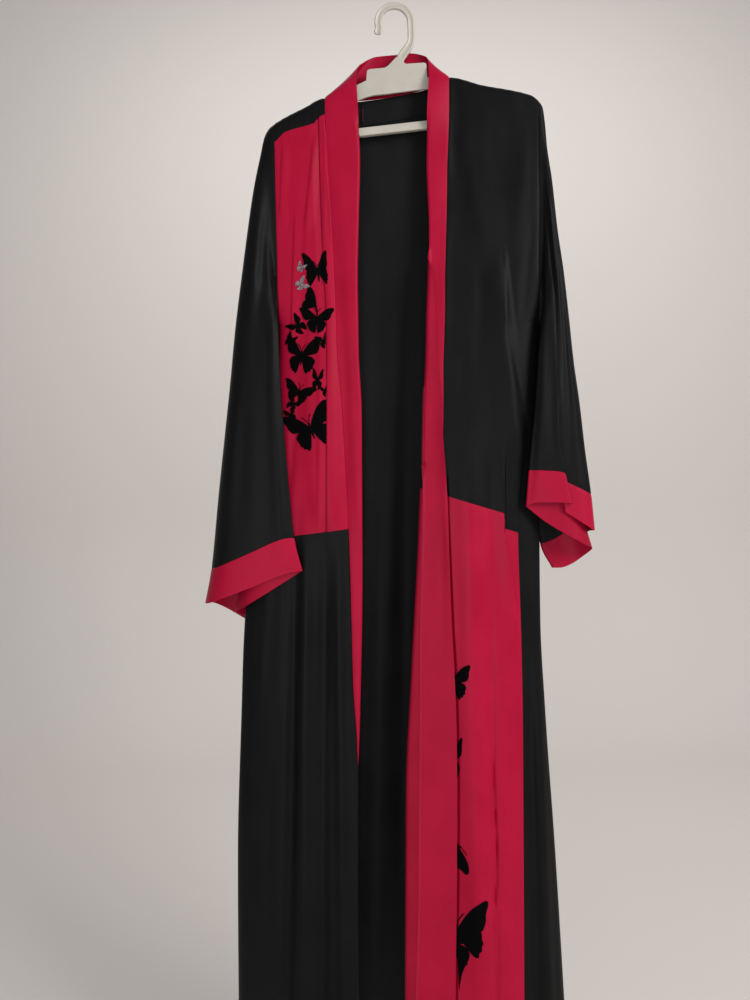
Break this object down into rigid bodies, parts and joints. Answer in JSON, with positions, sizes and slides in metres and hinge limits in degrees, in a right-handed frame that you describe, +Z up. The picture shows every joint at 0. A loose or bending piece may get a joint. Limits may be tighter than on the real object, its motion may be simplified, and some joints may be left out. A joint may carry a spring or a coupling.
{
  "type": "abaya on a hanger",
  "caption": "Open-fronted, floor-length dress with wide straight sleeves, contrast bands, panels and cuffs, held by a moulded hanger.",
  "frame": {"origin": "inside of the hook's top, where the rail or peg that holds the hanger bears", "axes": "+X to the right as the open front is looked at, +Y to the garment's back, +Z up"},
  "size_m": [0.5808, 0.089, 1.5469],
  "materials": {
    "black_satin": "matt black crepe-backed satin with a soft sheen",
    "crimson_satin": "crimson satin with a soft sheen",
    "hanger_plastic": "cream moulded plastic, slightly glossy",
    "label_tape": "black woven tape, left bare"
  },
  "bodies": {
    "root": {"hanger": "hanger_plastic", "back_panel": "black_satin", "right_yoke": "black_satin", "right_chest_panel": "crimson_satin", "right_skirt_front": "black_satin", "left_upper_front": "black_satin", "left_lower_panel": "crimson_satin", "right_band": "crimson_satin", "left_band": "crimson_satin", "right_sleeve": "black_satin", "right_cuff": "crimson_satin", "left_sleeve": "black_satin", "left_cuff": "crimson_satin", "neck_label": "label_tape"}
  },
  "joints": []
}
